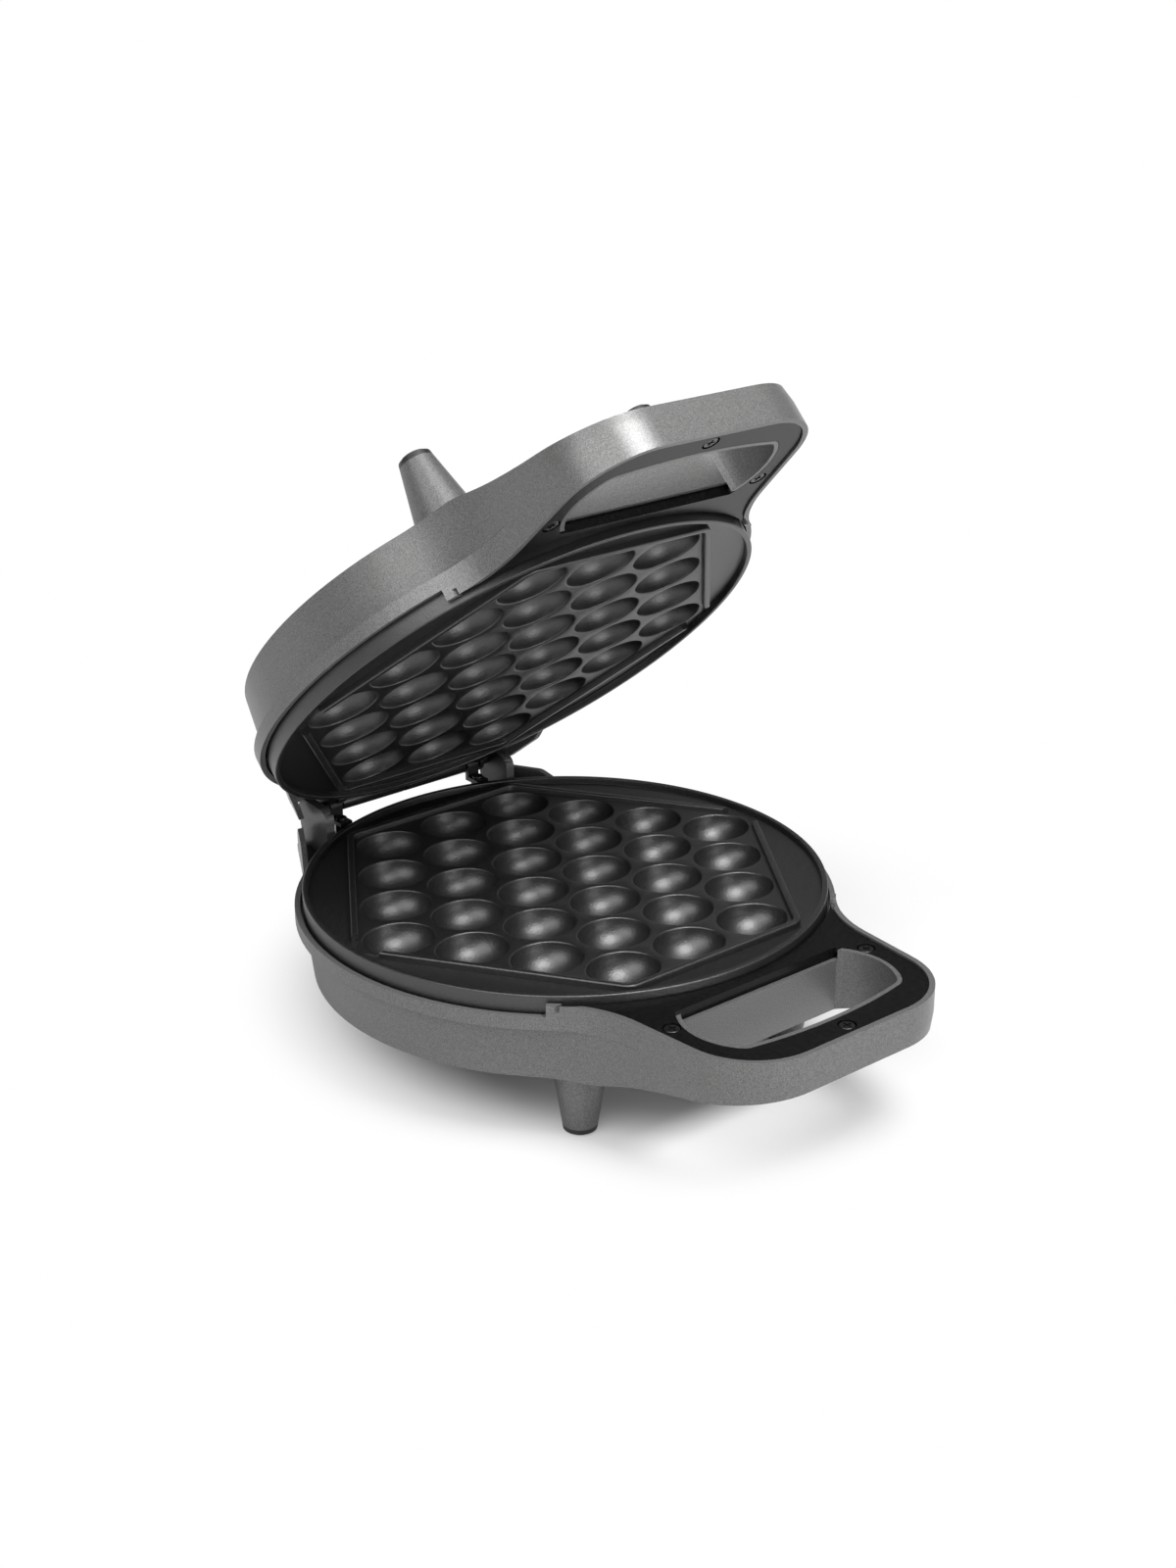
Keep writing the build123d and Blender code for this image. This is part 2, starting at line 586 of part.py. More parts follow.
def base_casing():
    """The lower shell with its two hinge cheeks and the bracket bosses."""
    shell = casing(BASE_FOOT_ROOT_R)
    shell += both_sides(cheek())
    shell += both_sides(prism(HINGE_SCREW_X, BASE_SCREW_Y, DECK_Z - DECK_THICK, 0, HINGE_BOSS_R))
    bore = PIN_R + PIN_RUNNING_GAP
    pin_end = CHEEK_IN + PIN_IN_CHEEK + PIN_END_GAP
    shell -= both_sides(flat_span(CHEEK_IN - PAST, pin_end, bore, SLEEVE_SIDES))
    pilot = COVER_SCREW_R + SCREW_HOLE_GAP
    shell -= both_sides(prism(HINGE_SCREW_X, BASE_SCREW_Y, -HINGE_SCREW_LENGTH, PAST, pilot))
    return shell - inlet_hole()


def lid_casing():
    """The upper shell, still in its plate's frame, with bracket bosses."""
    shell = casing(LID_FOOT_ROOT_R)
    boss = prism(HINGE_SCREW_X, LID_SCREW_Y, DECK_Z - DECK_THICK, -BRACKET_THICK, HINGE_BOSS_R)
    shell += both_sides(boss)
    pilot = COVER_SCREW_R + SCREW_HOLE_GAP
    deep = -BRACKET_THICK - HINGE_SCREW_LENGTH
    shell -= both_sides(prism(HINGE_SCREW_X, LID_SCREW_Y, deep, PAST, pilot))
    return shell - lamp_window(0)


def window_lens():
    """The lamp window, flush with the handle's outer face."""
    return lamp_window(SCREW_HOLE_GAP) - below_underside(0)


def handle_cover():
    """Black plate that closes the handle, with a turned edge by the opening."""
    sheet = offset(rim_outline(), -BEAD_WALL - COVER_GAP) - Circle(BEAD_R - BEAD_WALL + COVER_LAP)
    sheet &= handle_zone()
    sheet = sheet.faces().sort_by(SortBy.AREA)[-1]
    cover = down(sheet, COVER_TOP, COVER_UNDER)
    hole = offset(opening_outline(), OPENING_WALL + COVER_GAP)
    flange_y = -OPENING_NEAR + OPENING_WALL + COVER_GAP
    near_x = OPENING_HALF - OPENING_WALL
    flange_z = (COVER_TOP - COVER_FLANGE, COVER_TOP)
    flange = block((-near_x, near_x), (flange_y, flange_y + COVER_FLANGE_WALL), flange_z)
    cover -= down(hole, PAST, 2 * FLOOR_Z)
    cover += flange
    for x, y in cover_screw_places():
        cover -= prism(x, y, COVER_UNDER, PAST, COVER_SCREW_R + 2 * SCREW_HOLE_GAP)
        cover -= prism(x, y, COVER_TOP - COVER_COUNTERBORE, PAST, COVER_COUNTERBORE_R, HEAD_SIDES)
    return cover


def screw(x, y, seat, head, head_r, length, shank_r):
    """A screw whose head rests on a seat and whose shank points down."""
    return prism(x, y, seat, seat + head, head_r, HEAD_SIDES) + prism(x, y, seat - length, seat, shank_r)


def cover_screws():
    seat = COVER_TOP - COVER_COUNTERBORE
    sizes = (COVER_SCREW_HEAD, COVER_SCREW_HEAD_R, COVER_SCREW_LENGTH, COVER_SCREW_R)
    return [screw(x, y, seat, *sizes) for x, y in cover_screw_places()]


def plate_screws():
    """Screws hidden in the legs, which pull the plate's posts to the casing."""
    solids = []
    for x, y in corners(FOOT_X, FOOT_Y):
        head = prism(x, y, FLOOR_Z - PLATE_SCREW_HEAD, FLOOR_Z, PLATE_SCREW_HEAD_R)
        solids.append(head + prism(x, y, FLOOR_Z, FLOOR_Z + PLATE_SCREW_LENGTH, PLATE_SCREW_R))
    return solids


def rubber_tips():
    """Soft discs under the legs, each with a stem that plugs the leg's bore."""
    solids = []
    for x, y in corners(FOOT_X, FOOT_Y):
        disc = prism(x, y, -FEET_BELOW_LAND, FOOT_END, TIP_R, 2 * SMALL_SIDES)
        solids.append(disc + prism(x, y, FOOT_END, FOOT_END + TIP_STEM, FOOT_BORE_R - SCREW_HOLE_GAP))
    return solids


def heater():
    """Pressed tube heater: a mitred hexagon with two tails to the hinge."""
    reach = RIB_REACH_X - HEATER_INSET
    end_y = RIB_REACH_Y - HEATER_INSET
    corner_x = (reach - RIB_NY * end_y) / RIB_NX
    half = [(HEATER_TAIL_X, end_y + HEATER_TAIL_LENGTH), (HEATER_TAIL_X, end_y), (corner_x, end_y)]
    half += [(reach / RIB_NX, 0), (corner_x, -end_y), (0, -end_y)]
    line = Polyline(*[(x, y, PAD_BOTTOM) for x, y in half])
    wide, narrow = HEATER_TOP_WIDTH / 2, HEATER_LOW_WIDTH / 2
    low = -HEATER_HEIGHT
    section = Polyline((-wide, 0), (wide, 0), (narrow, low), (-narrow, low), close=True)
    start = Plane(origin=line @ 0, x_dir=(1, 0, 0), z_dir=line % 0)
    run = sweep(start * make_face(section), path=line, transition=Transition.RIGHT)
    return run + mirror(run, about=Plane.YZ)


def heater_straps():
    """Stepped straps, screwed to the pad, that press the heater to it."""
    screw_u = HEATER_INSET - RIB_TO_SIDE_BUBBLES
    foot_u = screw_u - STRAP_WIDTH / 2
    wide = HEATER_TOP_WIDTH / 2
    riser = -wide - COVER_GAP
    points = [(foot_u, 0), (riser, 0), (riser, -HEATER_HEIGHT), (wide, -HEATER_HEIGHT)]
    points += [(wide, -HEATER_HEIGHT - STRAP_THICK), (riser - STRAP_THICK, -HEATER_HEIGHT - STRAP_THICK)]
    points += [(riser - STRAP_THICK, -STRAP_THICK), (foot_u, -STRAP_THICK)]
    x, y = STRAP_SCREW
    origin = (x - screw_u * RIB_NX, y - screw_u * RIB_NY, PAD_BOTTOM)
    section = Plane(origin=origin, x_dir=(RIB_NX, RIB_NY, 0), z_dir=(RIB_NY, -RIB_NX, 0))
    strap = extrude(section * make_face(Polyline(*points, close=True)), amount=STRAP_WIDTH / 2, both=True)
    strap -= prism(x, y, PAD_BOTTOM - STRAP_THICK, PAD_BOTTOM, STRAP_SCREW_R + 2 * SCREW_HOLE_GAP)
    pair = both_sides(strap)
    return pair + [mirror(piece, about=Plane.XZ) for piece in pair]


def strap_screws():
    seat = PAD_BOTTOM - STRAP_THICK
    top = PAD_BOTTOM + STRAP_SCREW_DEPTH - PAST
    solids = []
    for x, y in corners(*STRAP_SCREW):
        head = prism(x, y, seat - STRAP_SCREW_HEAD, seat, STRAP_SCREW_HEAD_R, HEX_SIDES)
        solids.append(head + prism(x, y, seat, top, STRAP_SCREW_R))
    return solids


def heat_shield():
    """Aluminium tray clamped between the plate's posts and the casing."""
    cx, cy = FOOT_X + SHIELD_PAST_FOOT, FOOT_Y + SHIELD_PAST_FOOT
    sx, sy = PLATE_R - SHIELD_SIDE_INSET, SHIELD_SIDE_HALF
    points = [(cx, cy), (sx, sy), (sx, -sy), (cx, -cy), (-cx, -cy), (-sx, -sy), (-sx, sy), (-cx, cy)]
    outline = make_face(Polyline(*points, close=True))
    tray = down(outline, SHIELD_Z + SHIELD_LIP, SHIELD_Z)
    tray -= down(offset(outline, -SHIELD_THICK, kind=Kind.INTERSECTION), SHIELD_Z + SHIELD_LIP, POST_END)
    hole_r = PLATE_SCREW_R + 2 * SCREW_HOLE_GAP
    return tray - [prism(x, y, SHIELD_Z, POST_END, hole_r) for x, y in corners(FOOT_X, FOOT_Y)]


def hinge_pin():
    return span(-CHEEK_IN - PIN_IN_CHEEK, CHEEK_IN + PIN_IN_CHEEK, PIN_R)


def hinge_sleeves():
    """Two spacer sleeves that fill the pin between the brackets."""
    bore = flat_span(0, SLEEVE_END + PAST, PIN_R + PIN_RUNNING_GAP, SMALL_SIDES)
    return both_sides(flat_span(SLEEVE_GAP, SLEEVE_END, SLEEVE_R, SLEEVE_SIDES) - bore)


def base_bracket():
    """A knuckle round the pin, with a web down to its screwed flange."""
    low, high = KNUCKLE_X
    knuckle = flat_span(low, high, KNUCKLE_R, SLEEVE_SIDES)
    web_y = HINGE_Y - KNUCKLE_R
    web = block((low, high), (web_y, web_y + BRACKET_THICK), (0, HINGE_Z))
    flange = block((low, high), (HINGE_Y - BASE_FLANGE_REACH, web_y + BRACKET_THICK), (0, BRACKET_THICK))
    bracket = knuckle + web + flange
    bracket -= flat_span(low - PAST, high + PAST, PIN_R + PIN_RUNNING_GAP, SMALL_SIDES)
    hole_r = COVER_SCREW_R + 2 * SCREW_HOLE_GAP
    return bracket - prism(HINGE_SCREW_X, BASE_SCREW_Y, -PAST, BRACKET_THICK, hole_r)


def base_hinge_screw():
    place = (HINGE_SCREW_X, BASE_SCREW_Y, BRACKET_THICK)
    return screw(*place, HINGE_SCREW_HEAD, HINGE_SCREW_HEAD_R, HINGE_SCREW_LENGTH, COVER_SCREW_R)


def lid_arm():
    """An arm of the lid that turns on the pin, in the closed frame."""
    low, high = LID_ARM_X
    eye = flat_span(low, high, LID_ARM_R, SLEEVE_SIDES)
    flange_z = (CLOSED_GAP, CLOSED_GAP + BRACKET_THICK)
    near = HINGE_Y - LID_FLANGE_REACH
    reach = block((low, high), (near, HINGE_Y), (CLOSED_GAP, CLOSED_GAP - BEAD_TOP - COVER_GAP))
    flange = block((high - LID_FLANGE_WIDTH, high), (near, near + LID_FLANGE_DEPTH), flange_z)
    arm = eye + reach + flange
    arm -= span(low - PAST, high + PAST, PIN_R + PIN_RUNNING_GAP)
    hole_r = COVER_SCREW_R + 2 * SCREW_HOLE_GAP
    return arm - prism(HINGE_SCREW_X, LID_SCREW_Y, *flange_z, hole_r)


def lid_hinge_screw():
    """Built in the plate's frame, then carried over with the lid."""
    place = (HINGE_SCREW_X, LID_SCREW_Y, 0)
    return screw(*place, HINGE_SCREW_HEAD, HINGE_SCREW_HEAD_R, HINGE_SCREW_LENGTH, COVER_SCREW_R)


def rear_rod(start, end, radius):
    """A many-sided rod square to the drafted rear wall, at the lead's inlet."""
    height = (BEAD_BOTTOM + FLOOR_Z) / 2
    wall_y = BLOCK_REAR_Y - (BEAD_BOTTOM - height) * tan(radians(DRAFT))
    outward = (0, cos(radians(DRAFT)), -sin(radians(DRAFT)))
    place = Plane(origin=(INLET_X, wall_y, height), x_dir=(1, 0, 0), z_dir=outward)
    return extrude(place * Pos(0, 0, start) * RegularPolygon(radius, 2 * SMALL_SIDES), amount=end - start)


def inlet_hole():
    return rear_rod(-INLET_LENGTH - PAST, PAST, INLET_R + SCREW_HOLE_GAP)


def inlet_bushing():
    """The lead's gland in the rear wall, with a collar outside and a bore."""
    gland = rear_rod(-INLET_LENGTH, 0, INLET_R) + rear_rod(0, INLET_FLANGE_THICK, INLET_FLANGE_R)
    return gland - rear_rod(-INLET_LENGTH - PAST, INLET_FLANGE_THICK + PAST, INLET_BORE_R)


def terminal_block():
    """A moulded block on the floor, with three open wire ways."""
    width, deep, high = TERMINAL_BLOCK
    middle = Pos(TERMINAL_X, BLOCK_REAR_Y - TERMINAL_FROM_REAR, FLOOR_TOP + high / 2)
    body = middle * Box(width, deep, high)
    for i in (-1, 0, 1):
        body -= middle * Pos(i * TERMINAL_PITCH, 0, high / 2) * Box(TERMINAL_WAY, deep, high)
    return body


def thermostat():
    """A snap disc thermostat held to the pad by its two-eared plate."""
    eared = Pos(0, THERMOSTAT_Y) * Rectangle(THERMOSTAT_EARS, THERMOSTAT_R)
    eared = chamfer(eared.vertices(), THERMOSTAT_EAR_CORNER)
    body = prism(0, THERMOSTAT_Y, PAD_BOTTOM - THERMOSTAT_HEIGHT, PAD_BOTTOM, THERMOSTAT_R, 2 * SMALL_SIDES)
    return body + down(eared, PAD_BOTTOM, PAD_BOTTOM - STRAP_THICK)


def thermal_fuse():
    """A thermal cut-out lying flat on the pad."""
    half_turn = 180 / SMALL_SIDES
    height = PAD_BOTTOM - FUSE_R * cos(radians(half_turn))
    place = Plane(origin=(FUSE_X - FUSE_LENGTH / 2, 0, height), x_dir=(0, 1, 0), z_dir=(1, 0, 0))
    return extrude(place * RegularPolygon(FUSE_R, SMALL_SIDES, rotation=half_turn), amount=FUSE_LENGTH)


def lamp(side):
    """A small neon lamp that lies behind the window, on its inner face."""
    half_turn = 180 / SMALL_SIDES
    height = -HANDLE_END_THICK + LAMP_WINDOW_TOP + LAMP_R * cos(radians(half_turn))
    start_y = -HANDLE_REACH + LAMP_FROM_END - LAMP_LENGTH / 2
    origin = (LAMP_X + side * LAMP_SPACING / 2, start_y, height)
    place = Plane(origin=origin, x_dir=(1, 0, 0), z_dir=(0, 1, 0))
    return extrude(place * RegularPolygon(LAMP_R, SMALL_SIDES, rotation=half_turn), amount=LAMP_LENGTH)


def lamp_window(gap):
    """The lamp window through the handle's outer face, less a gap."""
    middle = Pos(LAMP_X, -HANDLE_REACH + LAMP_FROM_END)
    window = middle * Rectangle(LAMP_WINDOW_WIDTH - 2 * gap, LAMP_WINDOW_DEPTH - 2 * gap)
    return down(window, -HANDLE_END_THICK + LAMP_WINDOW_TOP, -HANDLE_END_THICK - 2 * WALL)


def to_lid(shape):
    """Mirror a piece of the lower half over the parting gap."""
    return Pos(0, 0, CLOSED_GAP) * mirror(shape, about=Plane.XY)


def swing(shape):
    """Swing a piece of the closed lid to the rest position."""
    return shape.rotate(HINGE_AXIS, -OPEN_ANGLE)


base = {
    "base_housing": [base_casing()],
    "base_handle_cover": [handle_cover()],
    "base_cooking_plate": [cooking_plate()],
    "base_heating_element": [heater()],
    "base_element_straps": heater_straps(),
    "base_strap_screws": strap_screws(),
    "base_heat_shield": [heat_shield()],
    "base_plate_screws": plate_screws(),
    "base_rubber_tips": rubber_tips(),
    "base_cover_screws": cover_screws(),
    "base_hinge_brackets": both_sides(base_bracket()),
    "base_hinge_screws": both_sides(base_hinge_screw()),
    "hinge_pin": [hinge_pin()],
    "hinge_sleeves": hinge_sleeves(),
    "inlet_bushing": [inlet_bushing()],
    "terminal_block": [terminal_block()],
    "thermostat": [thermostat()],
    "thermal_fuse": [thermal_fuse()],
}

lid_plate_frame = {
    "lid_housing": [lid_casing()],
    "lid_handle_cover": [handle_cover()],
    "lid_cooking_plate": [cooking_plate()],
    "lid_heating_element": [heater()],
    "lid_element_straps": heater_straps(),
    "lid_strap_screws": strap_screws(),
    "lid_heat_shield": [heat_shield()],
    "lid_plate_screws": plate_screws(),
    "lid_rubber_tips": rubber_tips(),
    "lid_cover_screws": cover_screws(),
    "lid_hinge_screws": both_sides(lid_hinge_screw()),
    "lamp_window": [window_lens()],
    "power_lamp": [lamp(-1)],
    "ready_lamp": [lamp(1)],
}

placed = dict(base)
for name, pieces in lid_plate_frame.items():
    placed[name] = [swing(to_lid(piece)) for piece in pieces]
placed["lid_hinge_arms"] = [swing(arm) for arm in both_sides(lid_arm())]

boxes = [piece.bounding_box() for pieces in placed.values() for piece in pieces]
shift_y = -(min(b.min.Y for b in boxes) + max(b.max.Y for b in boxes)) / 2
lift = Pos(0, shift_y, FEET_BELOW_LAND)
print("shift in Y", round(shift_y, 3))

for name, pieces in placed.items():
    solids = [solid for piece in pieces for solid in (lift * piece).solids()]
    export_step(Compound(children=solids), f"parts/{name}.step")
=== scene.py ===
import json
import math

import bmesh
import bpy
from mathutils import Matrix, Vector
from mathutils.geometry import delaunay_2d_cdt

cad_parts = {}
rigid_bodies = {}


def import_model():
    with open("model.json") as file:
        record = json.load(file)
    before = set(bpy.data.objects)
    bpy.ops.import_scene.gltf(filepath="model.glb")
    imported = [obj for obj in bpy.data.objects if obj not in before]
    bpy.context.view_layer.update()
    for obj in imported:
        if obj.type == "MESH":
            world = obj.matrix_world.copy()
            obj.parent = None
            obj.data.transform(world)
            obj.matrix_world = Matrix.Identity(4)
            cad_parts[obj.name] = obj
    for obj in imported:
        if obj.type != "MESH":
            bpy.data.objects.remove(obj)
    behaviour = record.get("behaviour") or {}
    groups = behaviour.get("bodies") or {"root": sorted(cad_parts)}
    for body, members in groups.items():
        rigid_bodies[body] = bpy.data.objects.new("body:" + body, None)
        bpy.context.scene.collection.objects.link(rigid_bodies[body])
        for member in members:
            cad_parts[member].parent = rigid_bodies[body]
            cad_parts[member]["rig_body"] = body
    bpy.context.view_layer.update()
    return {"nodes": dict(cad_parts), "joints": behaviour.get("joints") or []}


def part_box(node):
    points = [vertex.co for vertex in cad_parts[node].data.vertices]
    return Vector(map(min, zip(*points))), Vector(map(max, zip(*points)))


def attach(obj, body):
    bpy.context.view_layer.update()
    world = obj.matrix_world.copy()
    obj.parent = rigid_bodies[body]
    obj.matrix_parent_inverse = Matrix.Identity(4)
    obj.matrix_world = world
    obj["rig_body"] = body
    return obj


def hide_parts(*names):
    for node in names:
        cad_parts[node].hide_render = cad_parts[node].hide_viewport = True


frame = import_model()

# Lengths are in metres. A half's pieces are built in the frame of its own
# cooking plate, as in the CAD source: the origin is the plate's centre, Z = 0
# is the land between the bubbles and the casing lies below.
MM = 0.001

# Cooking plate
PLATE_R = 115 * MM
PLATE_THICK = 8 * MM
PAD_R = 104 * MM
PAD_BOTTOM = 14.5 * MM
RIM_HEIGHT = 2.5 * MM
RIM_WIDTH = 2.5 * MM
RIM_CORNER_R = 0.6 * MM
GUTTER_DROP = 0.6 * MM
GUTTER_EDGE_WIDTH = 0.5 * MM
GUTTER_EDGE_RISE = 0.15 * MM
LAND_EDGE_WIDTH = 0.2 * MM
PITCH_X = 36 * MM
PITCH_Y = 27 * MM
BUBBLE_WEB = 4 * MM
BUBBLE_HALF_X = (PITCH_X - BUBBLE_WEB) / 2
BUBBLE_HALF_Y = 14.1 * MM
BUBBLE_DEPTH = 12 * MM
BUBBLE_LIP_R = 0.7 * MM
ROWS_EACH_SIDE = 3
MIDDLE_ROW_COUNT = 6
RIB_WIDTH = 3 * MM
RIB_HEIGHT = 2.5 * MM
RIB_TOP_R = 0.8 * MM
RIB_PAST_BUBBLES = 2.9 * MM
RIB_CORNER_R = 6 * MM
RIB_END_GAP = 20 * MM

# From one plate's land to the other's, with the lid closed
CLOSED_GAP = 5.4 * MM

# Rubber tips
FOOT_X = 58.7 * MM
FOOT_Y = 80.6 * MM
FEET_BELOW_LAND = 66.6 * MM
TIP_R = 5.8 * MM
TIP_PROUD = 1.0 * MM
TIP_EDGE_R = 0.4 * MM
LEG_BLACK_END = 3.2 * MM

# Screws
COVER_SCREWS = [(54 * MM, -130.7 * MM), (-54 * MM, -130.7 * MM), (0, -172.4 * MM)]
COVER_SCREW_SEAT = -2.0 * MM
COVER_SCREW_HEAD = 1.0 * MM
COVER_SCREW_HEAD_R = 3.25 * MM
COVER_SCREW_LENGTH = 10 * MM
SCREW_R = 1.5 * MM
HINGE_SCREW_X = 39.75 * MM
HINGE_SCREW_PLACES = {"base": (115.2 * MM, 2.0 * MM), "lid": (113.2 * MM, 0)}
HINGE_SCREW_HEAD = 1.3 * MM
HINGE_SCREW_HEAD_R = 2.6 * MM
HINGE_SCREW_LENGTH = 8 * MM

# A screw head's round edge and cross recess, as shares of the head's height
# for the edge and the depth, and of its radius for the length and the width
HEAD_EDGE_SHARE = 0.35
CROSS_DEPTH_SHARE = 0.7
CROSS_LENGTH_SHARE = 1.25
CROSS_WIDTH_SHARE = 0.34

# Hinge sleeves
SLEEVE_R = 3.75 * MM
SLEEVE_ENDS = (0.3 * MM, 35.7 * MM)
SLEEVE_EDGE_R = 0.4 * MM
SLEEVE_EDGE_MIDDLE = 0.3 * SLEEVE_EDGE_R
PIN_R = 2.5 * MM
PIN_PLAY = 0.05 * MM

# Inside of the hinge notch, coloured black: painted shade for this shadowed recess, whose moulding is also
# taken to be black
NOTCH_HALF = 50.5 * MM
NOTCH_FRONT_Y = 96 * MM
NOTCH_DEPTH = 12.5 * MM

# Rounded edges of pieces made from CAD nodes
HOUSING_EDGE = 0.6 * MM
COVER_EDGE = 0.35 * MM
BRACKET_EDGE = 0.3 * MM
EDGE_SEGMENTS = 2
EDGE_ANGLE_DEG = 32
FLAT_ANGLE_DEG = 0.6

# Edges that turn by more than this stay sharp in the shading
SHARP_DEG = 35
PLATE_SHARP_DEG = 30

# How finely round shapes are divided
PLATE_STEPS = 192
BUBBLE_STEPS = 48
BUBBLE_WALL_STEPS = 10
ROD_STEPS = 48
SCREW_STEPS = 32
RIB_CORNER_STEPS = 8
EDGE_STEPS = 4

# Tolerances
WELD = 1e-6
SCREW_WELD = 1e-7
FILL_TOLERANCE = 1e-7

# The flat fill keeps only triangles within its outer loop
FILL_WITHIN = 1

# A triangle's middle is in a bubble's mouth below this; 1 is the mouth's edge
MOUTH_LIMIT = 0.999

# Where the two halves stand in the shared frame
low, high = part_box("base_cooking_plate")
centre_y = (low.y + high.y) / 2
land_z = high.z - RIM_HEIGHT
hinge = frame["joints"][0]
pivot = Vector(hinge["pos_m"])
open_angle = math.radians(hinge["range_deg"][0])
to_base = Matrix.Translation((0, centre_y, land_z))
upside_down = Matrix.Diagonal((1, 1, -1, 1))
closed_lid = Matrix.Translation((0, centre_y, land_z + CLOSED_GAP)) @ upside_down
swing = Matrix.Translation(pivot) @ Matrix.Rotation(open_angle, 4, "X") @ Matrix.Translation(-pivot)
HALVES = {"base": to_base, "lid": swing @ closed_lid}


def placed(name, data):
    """A new object of the scene that shows a mesh, lamp or camera."""
    piece = bpy.data.objects.new(name, data)
    bpy.context.scene.collection.objects.link(piece)
    return piece


def mesh_of(name, bm):
    """Turn a bmesh into a mesh."""
    mesh = bpy.data.meshes.new(name)
    bm.to_mesh(mesh)
    bm.free()
    return mesh


def new_object(name, bm, body, nodes, sharp_deg=SHARP_DEG):
    """Turn a bmesh into a piece that rides on a body and stands for CAD nodes."""
    bmesh.ops.recalc_face_normals(bm, faces=bm.faces)
    mesh = mesh_of(name, bm)
    for polygon in mesh.polygons:
        polygon.use_smooth = True
    mesh.set_sharp_from_angle(angle=math.radians(sharp_deg))
    piece = placed(name, mesh)
    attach(piece, body)
    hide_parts(*nodes)
    return piece


def steps_to_90(count):
    """Angles from 0 to a quarter turn, in equal steps."""
    return [math.pi / 2 * i / count for i in range(count + 1)]


def ellipse(cx, cy, a, b, steps):
    """Points along an ellipse with half axes a and b."""
    turns = [2 * math.pi * i / steps for i in range(steps)]
    return [(cx + a * math.cos(t), cy + b * math.sin(t)) for t in turns]


def add_ring(bm, outline, height, matrix):
    """New vertices along a flat outline, at one height."""
    return [bm.verts.new(matrix @ Vector((x, y, height))) for x, y in outline]


def join_rings(bm, rings):
    """Bridge closed rings of points in turn; a ring of one point is a pole."""
    for first, second in zip(rings, rings[1:]):
        count = max(len(first), len(second))
        for i in range(count):
            k = (i + 1) % count
            if len(first) == 1:
                bm.faces.new((first[0], second[i], second[k]))
            elif len(second) == 1:
                bm.faces.new((first[i], first[k], second[0]))
            else:
                bm.faces.new((first[i], first[k], second[k], second[i]))


def lathe(bm, profile, steps, matrix):
    """Revolve (radius, height) points about Z; a radius of 0 closes the end."""
    rings = []
    for radius, height in profile:
        outline = ellipse(0, 0, radius, radius, steps) if radius else [(0, 0)]
        rings.append(add_ring(bm, outline, height, matrix))
    join_rings(bm, rings)


def rounded(radius, corner_r, low_z, high_z):
    """Profile of a disc with a round top edge, from top centre to bottom centre."""
    points = [(0, high_z)]
    for t in steps_to_90(EDGE_STEPS):
        reach = radius - corner_r + corner_r * math.sin(t)
        points.append((reach, high_z - corner_r + corner_r * math.cos(t)))
    return points + [(radius, low_z), (0, low_z)]


def bubble_centres():
    """Centres of the bubbles, in rows that shorten towards front and back."""
    places = []
    for row in range(-ROWS_EACH_SIDE, ROWS_EACH_SIDE + 1):
        count = MIDDLE_ROW_COUNT - abs(row)
        places += [((i - (count - 1) / 2) * PITCH_X, row * PITCH_Y) for i in range(count)]
    return places


def bubble_rings():
    """Half axes and height of each ring of a bubble, from its lip down."""
    rings = []
    for t in steps_to_90(EDGE_STEPS):
        grow = BUBBLE_LIP_R * (1 - math.sin(t))
        rings.append((BUBBLE_HALF_X + grow, BUBBLE_HALF_Y + grow, BUBBLE_LIP_R * (math.cos(t) - 1)))
    for t in steps_to_90(BUBBLE_WALL_STEPS)[1:-1]:
        half_x, half_y = BUBBLE_HALF_X * math.cos(t), BUBBLE_HALF_Y * math.cos(t)
        rings.append((half_x, half_y, -BUBBLE_DEPTH * math.sin(t)))
    return rings


def hexagon(offset_by):
    """The rib's rounded hexagon as points, moved out or in from its middle."""
    lattice = math.hypot(PITCH_X / 2, PITCH_Y)
    nx, ny = PITCH_Y / lattice, PITCH_X / 2 / lattice
    past_side = math.hypot(BUBBLE_HALF_X * nx, BUBBLE_HALF_Y * ny) + RIB_PAST_BUBBLES
    reach = nx * PITCH_X * (MIDDLE_ROW_COUNT - 1) / 2 + past_side + offset_by
    end_y = PITCH_Y * ROWS_EACH_SIDE + BUBBLE_HALF_Y + RIB_PAST_BUBBLES + offset_by
    corner = Vector(((reach - ny * end_y) / nx, end_y))
    radius = RIB_CORNER_R + offset_by
    turn = math.acos(ny)
    setback = radius * math.tan(turn / 2)
    middle = Vector((corner.x - setback, end_y - radius))
    quarter = [Vector((reach / nx, 0))]
    for i in range(RIB_CORNER_STEPS + 1):
        t = math.pi / 2 - turn + turn * i / RIB_CORNER_STEPS
        quarter.append(middle + radius * Vector((math.cos(t), math.sin(t))))
    half = quarter + [Vector((-v.x, v.y)) for v in reversed(quarter)]
    return half + [Vector((v.x, -v.y)) for v in reversed(half[1:-1])]


def inside_loop(p, loop):
    """True where a point lies within a closed outline."""
    odd = False
    for (x1, y1), (x2, y2) in zip(loop, loop[1:] + loop[:1]):
        if (y1 > p.y) != (y2 > p.y) and p.x < (x2 - x1) * (p.y - y1) / (y2 - y1) + x1:
            odd = not odd
    return odd


